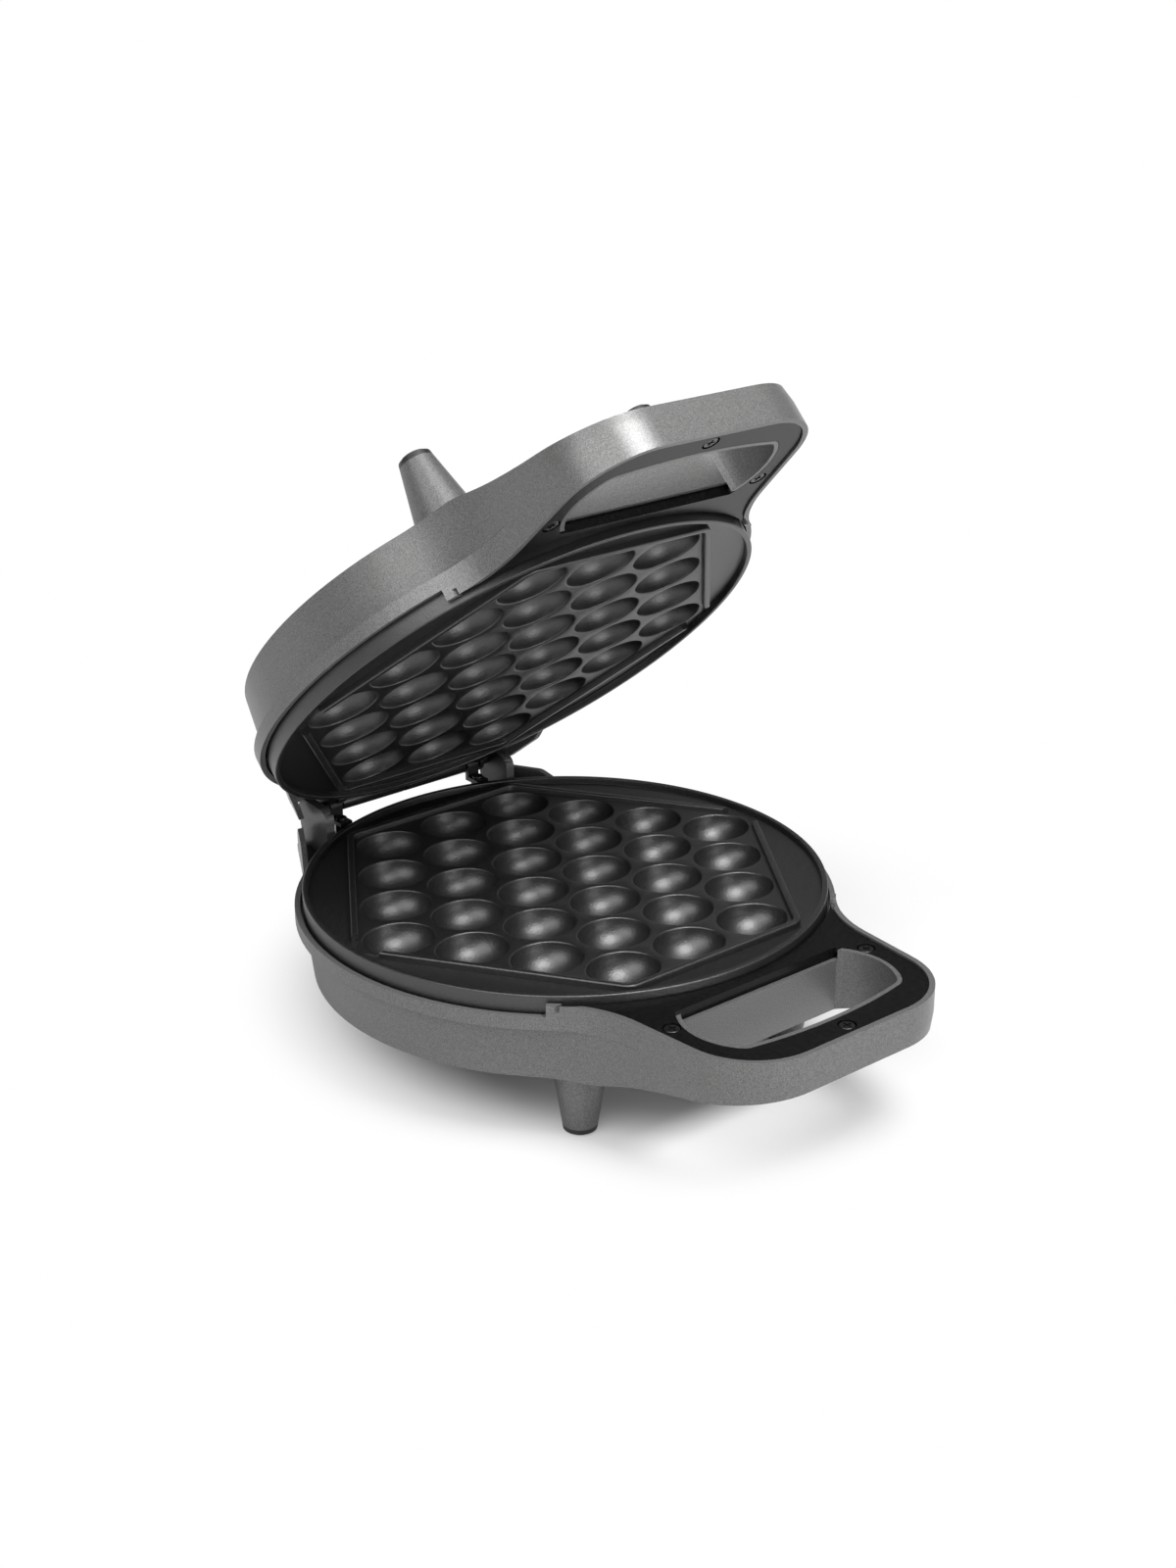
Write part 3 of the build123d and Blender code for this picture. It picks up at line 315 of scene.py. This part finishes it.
def fill_flat(bm, loops, height, inside, matrix):
    """Triangulate the flat region bounded by loops, keeping what is inside."""
    points, edges = [], []
    for loop in loops:
        first = len(points)
        points += [Vector(p) for p in loop]
        edges += [(first + i, first + (i + 1) % len(loop)) for i in range(len(loop))]
    found = delaunay_2d_cdt(points, edges, [], FILL_WITHIN, FILL_TOLERANCE)
    points, faces = found[0], found[2]
    verts = add_ring(bm, points, height, matrix)
    for face in faces:
        middle = sum((points[i] for i in face), Vector((0, 0))) / len(face)
        if inside(middle):
            bm.faces.new([verts[i] for i in face])
    bmesh.ops.delete(bm, geom=[v for v in verts if not v.link_faces], context="VERTS")


def rib_end(offset_by, sign):
    """Where the rib stops, on the slanted side next to a hexagon's point."""
    tip, next_point = hexagon(offset_by)[:2]
    share = (RIB_END_GAP / 2 - tip.y) / (next_point.y - tip.y)
    point = tip + share * (next_point - tip)
    return Vector((sign * point.x, point.y))


def rib(bm, side, matrix):
    """One half of the rib: a round-topped bar along the hexagon, with ends."""
    section = [(-RIB_WIDTH / 2, -GUTTER_DROP)]
    for t in steps_to_90(EDGE_STEPS):
        across = -RIB_WIDTH / 2 + RIB_TOP_R * (1 - math.cos(t))
        section.append((across, RIB_HEIGHT - RIB_TOP_R + RIB_TOP_R * math.sin(t)))
    section += [(-across, z) for across, z in reversed(section)]
    rows = []
    for offset_by, height in section:
        line = [v for v in hexagon(offset_by) if side * v.y > RIB_END_GAP / 2]
        line.sort(key=lambda v: -v.x)
        line = [rib_end(offset_by, 1)] + line + [rib_end(offset_by, -1)]
        rows.append(add_ring(bm, [(v.x, side * abs(v.y)) for v in line], height, matrix))
    for first, second in zip(rows, rows[1:]):
        for i in range(len(first) - 1):
            bm.faces.new((first[i], first[i + 1], second[i + 1], second[i]))
    for end in (0, -1):
        bm.faces.new([row[end] for row in rows])


def plate_mesh(matrix):
    """The coated plate with smooth bubbles, soft lips, rib, gutter and rim."""
    bm = bmesh.new()
    rings = bubble_rings()
    places = bubble_centres()
    mouth_x, mouth_y, _ = rings[0]
    mouths = [ellipse(cx, cy, mouth_x, mouth_y, BUBBLE_STEPS) for cx, cy in places]
    land = [(v.x, v.y) for v in hexagon(-RIB_WIDTH / 2)]
    gutter_start = [(v.x, v.y) for v in hexagon(-RIB_WIDTH / 2 + LAND_EDGE_WIDTH)]
    well_r = PLATE_R - RIM_WIDTH
    gutter_r = well_r - GUTTER_EDGE_WIDTH

    def on_land(p):
        for cx, cy in places:
            if ((p.x - cx) / mouth_x) ** 2 + ((p.y - cy) / mouth_y) ** 2 < MOUTH_LIMIT:
                return False
        return inside_loop(p, land)

    def in_gutter(p):
        return p.length < gutter_r and not inside_loop(p, gutter_start)

    fill_flat(bm, [land] + mouths, 0, on_land, matrix)
    for cx, cy in places:
        loops = [add_ring(bm, ellipse(cx, cy, a, b, BUBBLE_STEPS), z, matrix) for a, b, z in rings]
        loops.append(add_ring(bm, [(cx, cy)], -BUBBLE_DEPTH, matrix))
        join_rings(bm, loops)
    join_rings(bm, [add_ring(bm, land, 0, matrix), add_ring(bm, gutter_start, -GUTTER_DROP, matrix)])
    circle = ellipse(0, 0, gutter_r, gutter_r, PLATE_STEPS)
    fill_flat(bm, [circle, gutter_start], -GUTTER_DROP, in_gutter, matrix)
    for side in (1, -1):
        rib(bm, side, matrix)
    edge_z = RIM_HEIGHT - RIM_CORNER_R
    profile = [(gutter_r, -GUTTER_DROP)]
    profile += [(well_r - GUTTER_EDGE_RISE, -GUTTER_DROP + GUTTER_EDGE_RISE), (well_r, 0)]
    for t in steps_to_90(EDGE_STEPS):
        profile.append((well_r + RIM_CORNER_R * (1 - math.cos(t)), edge_z + RIM_CORNER_R * math.sin(t)))
    for t in steps_to_90(EDGE_STEPS):
        reach = PLATE_R - RIM_CORNER_R + RIM_CORNER_R * math.sin(t)
        profile.append((reach, edge_z + RIM_CORNER_R * math.cos(t)))
    profile += [(PLATE_R, -PLATE_THICK), (PAD_R, -PLATE_THICK), (PAD_R, -PAD_BOTTOM), (0, -PAD_BOTTOM)]
    lathe(bm, profile, PLATE_STEPS, matrix)
    bmesh.ops.remove_doubles(bm, verts=bm.verts, dist=WELD)
    return bm


def blacken(bm, matrix):
    """Give a housing's hinge notch, as painted shade, and the ends of its legs the black material."""
    black_end = -FEET_BELOW_LAND + LEG_BLACK_END
    down = (matrix.to_3x3() @ Vector((0, 0, -1))).normalized()
    band = matrix @ Vector((0, 0, black_end))
    everything = bm.verts[:] + bm.edges[:] + bm.faces[:]
    bmesh.ops.bisect_plane(bm, geom=everything, dist=WELD, plane_co=band, plane_no=down)
    back = matrix.inverted()
    for face in bm.faces:
        p = back @ face.calc_center_median()
        # Faces inside the notch get black as painted shade; the legs' ends are black rubber-coloured
        in_notch = p.y > NOTCH_FRONT_Y and abs(p.x) < NOTCH_HALF and p.z > -NOTCH_DEPTH
        if in_notch or p.z < black_end:
            face.material_index = 1


def softened(node, width, housing_matrix=None):
    """A copy of a CAD node, its flat facets joined and its edges rounded.

    With a housing's matrix, the copy gets its black faces too: painted shade in the hinge notch and the
    legs' black ends.
    """
    bm = bmesh.new()
    bm.from_mesh(frame["nodes"][node].data)
    bmesh.ops.remove_doubles(bm, verts=bm.verts, dist=WELD)
    flat = math.radians(FLAT_ANGLE_DEG)
    bmesh.ops.dissolve_limit(bm, angle_limit=flat, verts=bm.verts, edges=bm.edges)
    if housing_matrix:
        blacken(bm, housing_matrix)
    piece = new_object(node + "_soft", bm, frame["nodes"][node]["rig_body"], [node])
    bevel = piece.modifiers.new("edges", "BEVEL")
    bevel.width = width
    bevel.segments = EDGE_SEGMENTS
    bevel.limit_method = "ANGLE"
    bevel.angle_limit = math.radians(EDGE_ANGLE_DEG)
    bevel.use_clamp_overlap = True
    weighted = piece.modifiers.new("normals", "WEIGHTED_NORMAL")
    weighted.keep_sharp = True
    return piece


def cross_screw(head_r, head, length):
    """A screw with a soft-edged head and a cross recess, its seat at Z = 0."""
    bm = bmesh.new()
    profile = rounded(head_r, HEAD_EDGE_SHARE * head, 0, head)[:-1]
    profile += [(SCREW_R, 0), (SCREW_R, -length), (0, -length)]
    lathe(bm, profile, SCREW_STEPS, Matrix.Identity(4))
    bmesh.ops.remove_doubles(bm, verts=bm.verts, dist=SCREW_WELD)
    bmesh.ops.recalc_face_normals(bm, faces=bm.faces)
    blank = placed("screw_blank", mesh_of("screw_blank", bm))
    cut = bmesh.new()
    cross_length = CROSS_LENGTH_SHARE * head_r
    cross_width = CROSS_WIDTH_SHARE * head_r
    cross_height = 2 * CROSS_DEPTH_SHARE * head
    for turn in (0, math.pi / 2):
        bar = Matrix.Rotation(turn, 4, "Z") @ Matrix.Diagonal((cross_length, cross_width, cross_height, 1))
        bmesh.ops.create_cube(cut, size=1, matrix=Matrix.Translation((0, 0, head)) @ bar)
    cutter = placed("screw_cutter", mesh_of("screw_cutter", cut))
    carve = blank.modifiers.new("cross", "BOOLEAN")
    carve.object = cutter
    carve.operation = "DIFFERENCE"
    carve.solver = "EXACT"
    carve.use_self = True
    bpy.context.view_layer.update()
    mesh = bpy.data.meshes.new_from_object(blank.evaluated_get(bpy.context.evaluated_depsgraph_get()))
    for extra in (blank, cutter):
        bpy.data.objects.remove(extra)
    return mesh


def copies(name, mesh, matrices, body, node):
    """One piece of several copies of a mesh, each put in its own place."""
    bm = bmesh.new()
    for matrix in matrices:
        first = len(bm.verts)
        bm.from_mesh(mesh)
        bm.verts.ensure_lookup_table()
        for vert in bm.verts[first:]:
            vert.co = matrix @ vert.co
    return new_object(name, bm, body, [node])


def node_material(name):
    """A new Principled material: its node tree's nodes, links and shader."""
    material = bpy.data.materials.new(name)
    material.use_nodes = True
    tree = material.node_tree
    return material, tree.nodes, tree.links, tree.nodes["Principled BSDF"]


# Every grain's noise, the part of its range that runs from dark to light, and
# how rough a clear coat is
GRAIN_DETAIL = 2.0
GRAIN_ROUGHNESS = 0.6
GRAIN_DARK_AT = 0.35
GRAIN_LIGHT_AT = 0.68
COAT_ROUGHNESS = 0.12


def grained(name, dark, light, grain, roughness, spread=0.05, metallic=0.0, gloss=0.5,
            coat=0.0, bump=0.02, relief=0.1 * MM):
    """A material with a fine grain in its colour, roughness and relief."""
    material, nodes, links, shader = node_material(name)
    shader.inputs["Metallic"].default_value = metallic
    shader.inputs["Specular IOR Level"].default_value = gloss
    shader.inputs["Coat Weight"].default_value = coat
    shader.inputs["Coat Roughness"].default_value = COAT_ROUGHNESS
    place = nodes.new("ShaderNodeTexCoord")
    fine = nodes.new("ShaderNodeTexNoise")
    fine.inputs["Scale"].default_value = 1 / grain
    fine.inputs["Detail"].default_value = GRAIN_DETAIL
    fine.inputs["Roughness"].default_value = GRAIN_ROUGHNESS
    links.new(place.outputs["Object"], fine.inputs["Vector"])
    colour = nodes.new("ShaderNodeValToRGB")
    colour.color_ramp.elements[0].position = GRAIN_DARK_AT
    colour.color_ramp.elements[1].position = GRAIN_LIGHT_AT
    colour.color_ramp.elements[0].color = (*dark, 1)
    colour.color_ramp.elements[1].color = (*light, 1)
    links.new(fine.outputs["Fac"], colour.inputs["Fac"])
    links.new(colour.outputs["Color"], shader.inputs["Base Color"])
    rough = nodes.new("ShaderNodeMapRange")
    rough.inputs["To Min"].default_value = roughness - spread
    rough.inputs["To Max"].default_value = roughness + spread
    links.new(fine.outputs["Fac"], rough.inputs["Value"])
    links.new(rough.outputs["Result"], shader.inputs["Roughness"])
    height = nodes.new("ShaderNodeBump")
    height.inputs["Strength"].default_value = bump
    height.inputs["Distance"].default_value = relief
    links.new(fine.outputs["Fac"], height.inputs["Height"])
    links.new(height.outputs["Normal"], shader.inputs["Normal"])
    return material


def dress(piece, *materials):
    """Give a piece its materials, keeping which face has which."""
    if piece.data.materials:
        piece.data.materials.clear()
    for material in materials:
        piece.data.materials.append(material)


# Materials
paint = grained(
    "grey_paint", (0.080, 0.080, 0.079), (0.160, 0.160, 0.158), grain=0.55 * MM, roughness=0.36,
    metallic=0.35, bump=0.45, relief=0.04 * MM)
# Black moulding, also used as painted shade inside the hinge notch
black_moulding_and_shade = grained(
    "black_moulding_and_shade", (0.010, 0.010, 0.011), (0.016, 0.016, 0.017), grain=0.6 * MM, roughness=0.42,
    bump=0.2, relief=0.02 * MM)
cover_gloss = grained(
    "cover_gloss", (0.003, 0.003, 0.0032), (0.006, 0.006, 0.0063), grain=2.0 * MM, roughness=0.25,
    spread=0.03, gloss=0.12, bump=0.05, relief=0.02 * MM)
coating = grained(
    "nonstick", (0.002, 0.002, 0.002), (0.012, 0.012, 0.0122), grain=0.7 * MM, roughness=0.38,
    spread=0.08, gloss=0.9, bump=0.9, relief=0.14 * MM)
hinge_black = grained(
    "hinge_black", (0.012, 0.012, 0.013), (0.022, 0.022, 0.023), grain=0.5 * MM, roughness=0.36,
    metallic=0.2, bump=0.2, relief=0.02 * MM)
rubber = grained(
    "rubber", (0.018, 0.018, 0.018), (0.03, 0.03, 0.03), grain=0.4 * MM, roughness=0.75,
    bump=0.3, relief=0.05 * MM)
dark_screw = grained(
    "dark_screw", (0.04, 0.04, 0.041), (0.08, 0.08, 0.082), grain=0.3 * MM, roughness=0.28,
    metallic=0.9, bump=0.1, relief=0.01 * MM)
steel = grained(
    "plated_steel", (0.42, 0.42, 0.43), (0.52, 0.52, 0.53), grain=0.5 * MM, roughness=0.3, metallic=1.0)
heater_metal = grained(
    "heater_metal", (0.36, 0.35, 0.34), (0.46, 0.45, 0.44), grain=0.6 * MM, roughness=0.4, metallic=1.0)
shield_metal = grained(
    "shield_metal", (0.66, 0.66, 0.67), (0.76, 0.76, 0.77), grain=1.5 * MM, roughness=0.25, metallic=1.0)
window_tint = grained(
    "window_tint", (0.02, 0.008, 0.008), (0.028, 0.012, 0.011), grain=1.0 * MM, roughness=0.12,
    spread=0.02, coat=0.5)
lamp_glass = grained(
    "lamp_glass", (0.75, 0.42, 0.25), (0.85, 0.5, 0.3), grain=1.0 * MM, roughness=0.1, spread=0.02)
cream = grained("cream_moulding", (0.62, 0.58, 0.48), (0.70, 0.66, 0.57), grain=0.8 * MM, roughness=0.45)

# Each half's own pieces
cover_screw = cross_screw(COVER_SCREW_HEAD_R, COVER_SCREW_HEAD, COVER_SCREW_LENGTH)
hinge_screw = cross_screw(HINGE_SCREW_HEAD_R, HINGE_SCREW_HEAD, HINGE_SCREW_LENGTH)

for half, matrix in HALVES.items():
    plate = new_object(half + "_plate_coated", plate_mesh(matrix), half, [half + "_cooking_plate"],
                       PLATE_SHARP_DEG)
    dress(plate, coating)
    housing = softened(half + "_housing", HOUSING_EDGE, matrix)
    dress(housing, paint, black_moulding_and_shade)
    cover = softened(half + "_handle_cover", COVER_EDGE)
    dress(cover, cover_gloss)
    places = [matrix @ Matrix.Translation((x, y, COVER_SCREW_SEAT)) for x, y in COVER_SCREWS]
    screws = copies(half + "_cover_cross_screws", cover_screw, places, half, half + "_cover_screws")
    dress(screws, dark_screw)
    y, z = HINGE_SCREW_PLACES[half]
    places = [matrix @ Matrix.Translation((side * HINGE_SCREW_X, y, z)) for side in (-1, 1)]
    screws = copies(half + "_hinge_cross_screws", hinge_screw, places, half, half + "_hinge_screws")
    dress(screws, dark_screw)
    bm = bmesh.new()
    for x in (-FOOT_X, FOOT_X):
        for y in (-FOOT_Y, FOOT_Y):
            tip = matrix @ Matrix.Translation((x, y, -FEET_BELOW_LAND)) @ upside_down
            lathe(bm, rounded(TIP_R, TIP_EDGE_R, -TIP_PROUD, 0), ROD_STEPS, tip)
    tips = new_object(half + "_round_tips", bm, half, [half + "_rubber_tips"])
    dress(tips, rubber)

# Hinge
along_x = Matrix.Rotation(math.pi / 2, 4, "Y")
near, far = SLEEVE_ENDS
half_length = (far - near) / 2
profile = [
    (PIN_R + PIN_PLAY, half_length),
    (SLEEVE_R - SLEEVE_EDGE_R, half_length),
    (SLEEVE_R - SLEEVE_EDGE_MIDDLE, half_length - SLEEVE_EDGE_MIDDLE),
    (SLEEVE_R, half_length - SLEEVE_EDGE_R),
]
profile += [(r, -z) for r, z in reversed(profile)]
bm = bmesh.new()
for side in (-1, 1):
    middle = pivot + Vector((side * (near + far) / 2, 0, 0))
    lathe(bm, profile, ROD_STEPS, Matrix.Translation(middle) @ along_x)
sleeves = new_object("round_sleeves", bm, "base", ["hinge_sleeves"])
dress(sleeves, hinge_black)
for node in ("base_hinge_brackets", "lid_hinge_arms"):
    dress(softened(node, BRACKET_EDGE), hinge_black)

# CAD nodes that show as they are
carried = {
    "hinge_pin": hinge_black,
    "inlet_bushing": black_moulding_and_shade,
    "lamp_window": window_tint,
    "power_lamp": lamp_glass,
    "ready_lamp": lamp_glass,
    "terminal_block": cream,
    "thermostat": steel,
    "thermal_fuse": steel,
}
for half in HALVES:
    carried[half + "_heating_element"] = heater_metal
    carried[half + "_element_straps"] = steel
    carried[half + "_strap_screws"] = steel
    carried[half + "_heat_shield"] = shield_metal
    carried[half + "_plate_screws"] = steel
for node, material in carried.items():
    dress(frame["nodes"][node], material)

# A white floor. Near the object it takes light and shadow; further out it
# glows evenly white, for the camera and for what mirrors it.
FLOOR_HALF = 12.0
FLOOR_CENTRE = (0.06, 0.02, 0)
FLOOR_GREY = 0.6
FLOOR_ROUGHNESS = 0.6
FLOOR_GLOSS = 0.1
CAMERA_FADE = (0.12, 0.20)
CAMERA_LEAST = 0.03
MIRROR_FADE = (0.30, 1.50)
MIRROR_LEAST = 0.0


def floor_material():
    """Lit and shadowed near the object, evenly white further out."""
    material, nodes, links, shader = node_material("floor_white")
    shader.inputs["Base Color"].default_value = (FLOOR_GREY, FLOOR_GREY, FLOOR_GREY, 1)
    shader.inputs["Roughness"].default_value = FLOOR_ROUGHNESS
    shader.inputs["Specular IOR Level"].default_value = FLOOR_GLOSS
    glow = nodes.new("ShaderNodeEmission")
    glow.inputs["Color"].default_value = (1, 1, 1, 1)
    glow.inputs["Strength"].default_value = 1.0
    rays = nodes.new("ShaderNodeLightPath")
    place = nodes.new("ShaderNodeTexCoord")
    from_middle = nodes.new("ShaderNodeVectorMath")
    from_middle.operation = "LENGTH"
    links.new(place.outputs["Object"], from_middle.inputs[0])

    def combined(operation, first, second):
        """A value worked out from two others."""
        joined = nodes.new("ShaderNodeMath")
        joined.operation = operation
        links.new(first, joined.inputs[0])
        links.new(second, joined.inputs[1])
        return joined.outputs[0]

    def white_from(ray, fade, least):
        """How white the floor glows for one kind of ray, by distance."""
        start, end = fade
        share = nodes.new("ShaderNodeMapRange")
        share.interpolation_type = "SMOOTHSTEP"
        share.inputs["From Min"].default_value = start
        share.inputs["From Max"].default_value = end
        share.inputs["To Min"].default_value = least
        share.inputs["To Max"].default_value = 1.0
        links.new(from_middle.outputs["Value"], share.inputs["Value"])
        return combined("MULTIPLY", ray, share.outputs["Result"])

    mirrored = combined("MAXIMUM", rays.outputs["Is Glossy Ray"], rays.outputs["Is Transmission Ray"])
    to_camera = white_from(rays.outputs["Is Camera Ray"], CAMERA_FADE, CAMERA_LEAST)
    to_mirror = white_from(mirrored, MIRROR_FADE, MIRROR_LEAST)
    mix = nodes.new("ShaderNodeMixShader")
    links.new(combined("MAXIMUM", to_camera, to_mirror), mix.inputs[0])
    links.new(shader.outputs[0], mix.inputs[1])
    links.new(glow.outputs[0], mix.inputs[2])
    links.new(mix.outputs[0], nodes["Material Output"].inputs["Surface"])
    return material


mesh = bpy.data.meshes.new("floor")
corners = [(x * FLOOR_HALF, y * FLOOR_HALF, 0) for x, y in ((-1, -1), (1, -1), (1, 1), (-1, 1))]
mesh.from_pydata(corners, [], [(0, 1, 2, 3)])
mesh.materials.append(floor_material())
floor = placed("floor", mesh)
floor.location = FLOOR_CENTRE

# A studio with a white horizon, darker sides and a bright ceiling, as pairs of
# height and brightness. Height goes from 0 at the horizon to 1 straight up.
STUDIO_BANDS = ((0.0, 1.0), (0.055, 1.0), (0.14, 0.25), (0.26, 0.10), (0.70, 0.16), (0.95, 0.8))


def studio_world():
    """A world whose brightness goes by height, in the studio's bands."""
    world = bpy.data.worlds.new("studio")
    world.use_nodes = True
    nodes, links = world.node_tree.nodes, world.node_tree.links
    place = nodes.new("ShaderNodeTexCoord")
    split = nodes.new("ShaderNodeSeparateXYZ")
    links.new(place.outputs["Generated"], split.inputs["Vector"])
    bands = nodes.new("ShaderNodeValToRGB")
    stops = bands.color_ramp.elements
    stops[1].position = STUDIO_BANDS[-1][0]
    for height, _ in STUDIO_BANDS[1:-1]:
        stops.new(height)
    for stop, (_, level) in zip(stops, STUDIO_BANDS):
        stop.color = (level, level, level, 1)
    links.new(split.outputs["Z"], bands.inputs["Fac"])
    links.new(bands.outputs["Color"], nodes["Background"].inputs["Color"])
    return world


bpy.context.scene.world = studio_world()


LAMP_AIM = Vector((0, 0, 0.12))


def aimed(piece, place, aim):
    """Put a lamp or the camera in its place and point it at the aim."""
    piece.location = place
    piece.rotation_euler = (aim - place).to_track_quat("-Z", "Y").to_euler()


def softbox(name, azimuth, elevation, distance, width, height, power):
    """A soft rectangular lamp that points at the object from a direction."""
    lamp = bpy.data.lights.new(name, "AREA")
    lamp.shape = "RECTANGLE"
    lamp.size = width
    lamp.size_y = height
    lamp.energy = power
    turn, rise = math.radians(azimuth), math.radians(elevation)
    direction = Vector((
        math.sin(turn) * math.cos(rise),
        -math.cos(turn) * math.cos(rise),
        math.sin(rise),
    ))
    aimed(placed(name, lamp), LAMP_AIM + distance * direction, LAMP_AIM)


# Angles in degrees, then distance, width and height, then power in watts
softbox("overhead", 40, 84, 1.4, 1.1, 1.1, 6)
softbox("key", 8, 62, 1.45, 0.65, 0.65, 25)
softbox("front_left", -70, 42, 1.7, 1.6, 1.0, 19)
softbox("front_low", 6, 6, 1.6, 0.8, 0.5, 8)

# Camera, fitted to the photograph
CAMERA_PLACE = Vector((-0.6025, -0.7182, 0.5054))
CAMERA_AIM = Vector((0.0205, 0.0257, 0.1040))
SENSOR_WIDTH = 36
LENS = 54.59
camera = placed("camera", bpy.data.cameras.new("camera"))
aimed(camera, CAMERA_PLACE, CAMERA_AIM)
camera.data.sensor_width = SENSOR_WIDTH
camera.data.lens = LENS
bpy.context.scene.camera = camera
bpy.context.scene.view_settings.view_transform = "Standard"
